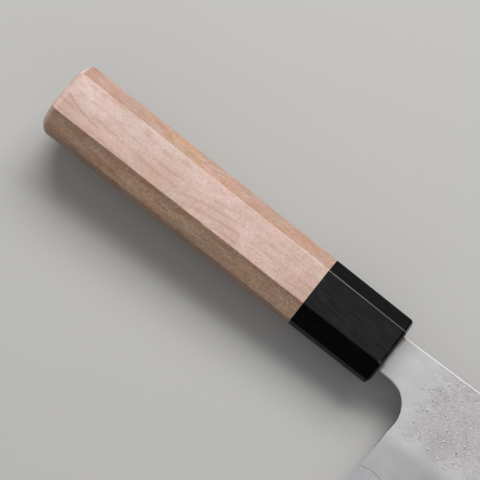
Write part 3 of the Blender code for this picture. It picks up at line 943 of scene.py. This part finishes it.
def core_steel_finish(blade):
    """Hard core with fine polishing lines along the edge, a soft haze and a brighter cutting bevel."""
    finish, shader, place = new_material("bright_core_steel")
    lines = fibres(place, width=0.05, length=9.0, contrast=0.25)
    cloud = clouds(place, size=9.0, stretch=3.0)
    mottle = clouds(place, size=0.55, stretch=1.3, contrast=0.16)
    tone = paint(blade.core_grey, cloud, DULL_GREY, 0.26)
    tone = paint(tone, lines, (0.34, 0.34, 0.35), 0.2)
    tone = paint(tone, mottle, (0.48, 0.47, 0.49), 0.3)
    facet = step(absolute(normal_parts(place)[2]), 0.992, 0.985)
    strokes = step(stretched_noise(place, (11.0, 0.5, 0.5), 2.0, 0.6), 0.4, 0.6)
    tone = paint(tone, facet, mix(strokes, (0.92, 0.92, 0.93), (0.62, 0.62, 0.63)))
    rough = plus(0.32, times(lines, 0.08))
    rough = times(rough, linear(facet, -0.35, 1.0))
    shade(shader, {
        "Base Color": tone,
        "Metallic": 1.0,
        "Roughness": rough,
        "Normal": bump(lines, blade.line_depth),
    })
    return finish


def resin_finish():
    """Amber bedding resin, clouded and a little glossy."""
    finish, shader, place = new_material("amber_bedding_resin")
    cloud = clouds(place, size=3.0, stretch=1.5)
    tone = mix(cloud, (0.34, 0.19, 0.07), (0.22, 0.12, 0.045))
    shade(shader, {"Base Color": tone, "Roughness": plus(0.25, times(cloud, 0.15))})
    return finish


class KNIFE_OT_wood_grip(bpy.types.Operator):
    """Model the octagonal wooden grip with its tenon, and give it its grain"""

    bl_idname = "knife.wood_grip"
    bl_label = "Wooden Grip"

    def execute(self, context):
        handle = context.scene.knife_handle
        butt = -handle.wood_length - handle.ferrule_length
        joint = -handle.ferrule_length - handle.joint_line
        grip = octagonal_bar("wood_grip", handle, butt, joint)
        round_rim(grip, butt, handle.butt_rounding, 7)
        round_rim(grip, joint, handle.joint_rounding, 1)
        round_ridges(grip, handle.ridge_radius, butt, joint)
        combine(grip, round_bar(**TENON), "UNION")
        combine(grip, oblong_bar(**TANG_SOCKET), "DIFFERENCE")
        lay_down(grip, "handle_body")
        finish_piece(grip, wood_finish(handle))
        return {"FINISHED"}


class KNIFE_OT_horn_ferrule(bpy.types.Operator):
    """Model the black horn ferrule with the seat that the blade's neck enters"""

    bl_idname = "knife.horn_ferrule"
    bl_label = "Horn Ferrule"

    def execute(self, context):
        handle = context.scene.knife_handle
        ferrule = octagonal_bar("horn_collar", handle, -handle.ferrule_length, 0.0)
        round_rim(ferrule, 0.0, handle.ferrule_rounding, 6)
        round_rim(ferrule, -handle.ferrule_length, handle.joint_rounding, 1)
        round_ridges(ferrule, handle.ridge_radius, -handle.ferrule_length, 0.0)
        combine(ferrule, round_bar(**TENON_BORE), "DIFFERENCE")
        combine(ferrule, oblong_bar(**TANG_SLOT), "DIFFERENCE")
        combine(ferrule, add_shape(bpy.ops.mesh.primitive_cube_add, size=1, **NECK_SEAT), "DIFFERENCE")
        lay_down(ferrule, "ferrule")
        finish_piece(ferrule, horn_finish(handle))
        return {"FINISHED"}


def copy_solid(name, node):
    """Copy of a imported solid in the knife's frame, with its loose triangles merged into whole faces."""
    piece = bpy.data.objects.new(name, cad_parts[node].data.copy())
    bpy.context.scene.collection.objects.link(piece)
    piece.data.name = name
    piece.data.transform(POSE.inverted())
    pick_only(piece)
    bpy.ops.mesh.customdata_custom_splitnormals_clear()
    edit(piece, "verts", everything, bpy.ops.mesh.remove_doubles, threshold=COPY_WELD)
    flat_within = math.radians(0.03)
    edit(piece, "faces", everything, bpy.ops.mesh.dissolve_limited, angle_limit=flat_within)
    return piece


def is_eased(edge):
    """Whether an edge borders the narrow eased band round a blade layer, at a turn of about 45 degrees."""
    if len(edge.link_faces) != 2 or not edge.is_convex:
        return False
    return math.radians(35) < edge.calc_face_angle() < math.radians(55)


def is_seam(edge):
    """Whether an edge is the outer rim of a layer's thin foot, along the lamination line low on the blade."""
    highest = -0.012
    if len(edge.link_faces) != 2 or not edge.is_convex or max(vert.co.y for vert in edge.verts) > highest:
        return False
    foot, flat = sorted(edge.link_faces, key=lambda face: abs(face.normal.z))
    return foot.normal.y < -0.5 and flat.normal.z * middle_of(edge).z > 0 and abs(flat.normal.z) > 0.98


class KNIFE_OT_outer_steel(bpy.types.Operator):
    """Refine the two outer layers of the blade and give them their pear-skin finish"""

    bl_idname = "knife.outer_steel"
    bl_label = "Outer Steel"

    def execute(self, context):
        blade = context.scene.knife_blade
        finish = outer_steel_finish(blade)
        for side in ("right", "left"):
            layer = copy_solid(f"outer_steel_{side}", f"cladding_{side}")
            bevel(layer, is_eased, blade.layer_rounding, 3)
            bevel(layer, is_seam, blade.seam_width, 1)
            edit(layer, "verts", everything, bpy.ops.mesh.remove_doubles, threshold=BEVEL_WELD)
            lay_down(layer, f"cladding_{side}")
            finish_piece(layer, finish)
        return {"FINISHED"}


class KNIFE_OT_core_steel(bpy.types.Operator):
    """Refine the hard core, with a polished finish and a finer one on the cutting bevel"""

    bl_idname = "knife.core_steel"
    bl_label = "Core Steel"

    def execute(self, context):
        blade = context.scene.knife_blade
        core = copy_solid("hard_core", "core_steel")
        edit(core, "faces", everything, bpy.ops.mesh.quads_convert_to_tris, ngon_method="BEAUTY")
        lay_down(core, "core_steel", crease=8.0)
        finish_piece(core, core_steel_finish(blade))
        return {"FINISHED"}


class KNIFE_OT_bedding_resin(bpy.types.Operator):
    """Give the resin that beds the tang its finish"""

    bl_idname = "knife.bedding_resin"
    bl_label = "Bedding Resin"

    def execute(self, context):
        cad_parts["tang_bedding"].material_slots[0].material = resin_finish()
        return {"FINISHED"}


def add_floor(stage):
    """Plain matt floor, a hair below the knife."""
    values = {"vertices": 64, "fill_type": "NGON", "radius": stage.floor_radius}
    floor = add_shape(bpy.ops.mesh.primitive_circle_add, location=(0, 0, -stage.floor_gap), **values)
    floor.name = floor.data.name = "studio_floor"
    finish = bpy.data.materials.new("plain_floor")
    finish.use_nodes = True
    shader = finish.node_tree.nodes["Principled BSDF"]
    shade(shader, {"Base Color": stage.floor_tone, "Roughness": 0.8})
    finish_piece(floor, finish)


def softbox(name, place, size, watts, tone, matt=True, shiny=True):
    """Area light that looks at the knife's middle and doesn't show in the picture.

    It can be kept off matt surfaces or out of reflections, so that the steel isn't burnt out from any side.
    """
    lamp = bpy.data.lights.new(name, "AREA")
    lamp.shape = "RECTANGLE"
    lamp.size, lamp.size_y = size
    lamp.energy = watts
    lamp.color = tone
    light = bpy.data.objects.new(name, lamp)
    bpy.context.scene.collection.objects.link(light)
    light.location = place
    middle = Vector((0, 0, 0.01))
    light.rotation_euler = (middle - Vector(place)).to_track_quat("-Z", "Y").to_euler()
    light.visible_camera = False
    light.visible_diffuse = matt
    light.visible_glossy = shiny


def add_lights(stage):
    """Large soft light beyond the spine, split in two, an overhead card, and two weak lights opposite."""
    daylight, white, sky_blue = (1.0, 0.99, 0.975), (1.0, 1.0, 1.0), (0.95, 0.975, 1.0)
    softbox("window_softbox", (-0.4, 0.95, 1.0), (1.4, 0.6), stage.key_power, daylight, shiny=False)
    softbox("window_glint", (-0.38, 0.92, 0.96), (1.4, 0.6), stage.glint_power, daylight, matt=False)
    softbox("overhead_card", (-0.1, 0.4, 1.6), (1.6, 1.2), stage.card_power, white, matt=False)
    softbox("edge_strip", (0.05, -1.05, 0.6), (0.4, 0.08), stage.strip_power, white)
    softbox("low_fill", (0.9, -0.8, 0.9), (0.9, 0.9), stage.fill_power, sky_blue)


def add_sky(stage):
    """Even, weak light from all round."""
    world = bpy.data.worlds.new("even_sky")
    world.use_nodes = True
    shade(world.node_tree.nodes["Background"], {"Color": (0.98, 0.985, 1.0), "Strength": stage.sky})
    bpy.context.scene.world = world


def add_camera():
    """Camera at the photograph's viewing angle."""
    lens = bpy.data.cameras.new("photo_camera")
    lens.lens = FOCAL_LENGTH
    lens.sensor_width = SENSOR_WIDTH
    lens.clip_start = 0.01
    camera = bpy.data.objects.new("photo_camera", lens)
    bpy.context.scene.collection.objects.link(camera)
    back = CAMERA_BACK.normalized()
    up = back.cross(CAMERA_RIGHT).normalized()
    turn = Matrix((up.cross(back), up, back)).transposed()
    camera.matrix_world = POSE @ Matrix.LocRotScale(CAMERA_PLACE, turn, None)
    bpy.context.scene.camera = camera
    bpy.context.scene.view_settings.view_transform = "Standard"


class KNIFE_OT_stage(bpy.types.Operator):
    """Add the plain floor, the soft lights and the camera"""

    bl_idname = "knife.stage"
    bl_label = "Floor, Lights and Camera"

    def execute(self, context):
        stage = context.scene.knife_stage
        add_floor(stage)
        add_lights(stage)
        add_sky(stage)
        add_camera()
        return {"FINISHED"}


class KNIFE_PT_panel(bpy.types.Panel):
    """Sidebar panel that lists the knife's pieces and settings"""

    bl_idname = "KNIFE_PT_panel"
    bl_label = "Santoku Knife"
    bl_space_type = "VIEW_3D"
    bl_region_type = "UI"
    bl_category = "Knife"

    def draw(self, context):
        for operator in OPERATORS:
            self.layout.operator(operator.bl_idname)
        for group in (context.scene.knife_handle, context.scene.knife_blade, context.scene.knife_stage):
            box = self.layout.box()
            for name in group.__annotations__:
                box.prop(group, name)


OPERATORS = (
    KNIFE_OT_wood_grip,
    KNIFE_OT_horn_ferrule,
    KNIFE_OT_bedding_resin,
    KNIFE_OT_outer_steel,
    KNIFE_OT_core_steel,
    KNIFE_OT_stage,
)
CLASSES = (KnifeHandleSettings, KnifeBladeSettings, KnifeStageSettings, *OPERATORS, KNIFE_PT_panel)


def register():
    for item in CLASSES:
        bpy.utils.register_class(item)
    bpy.types.Scene.knife_handle = PointerProperty(type=KnifeHandleSettings)
    bpy.types.Scene.knife_blade = PointerProperty(type=KnifeBladeSettings)
    bpy.types.Scene.knife_stage = PointerProperty(type=KnifeStageSettings)


def unregister():
    del bpy.types.Scene.knife_stage
    del bpy.types.Scene.knife_blade
    del bpy.types.Scene.knife_handle
    for item in reversed(CLASSES):
        bpy.utils.unregister_class(item)


def main():
    register()
    for operator in OPERATORS:
        group, name = operator.bl_idname.split(".")
        getattr(getattr(bpy.ops, group), name)()


if __name__ == "__main__":
    main()
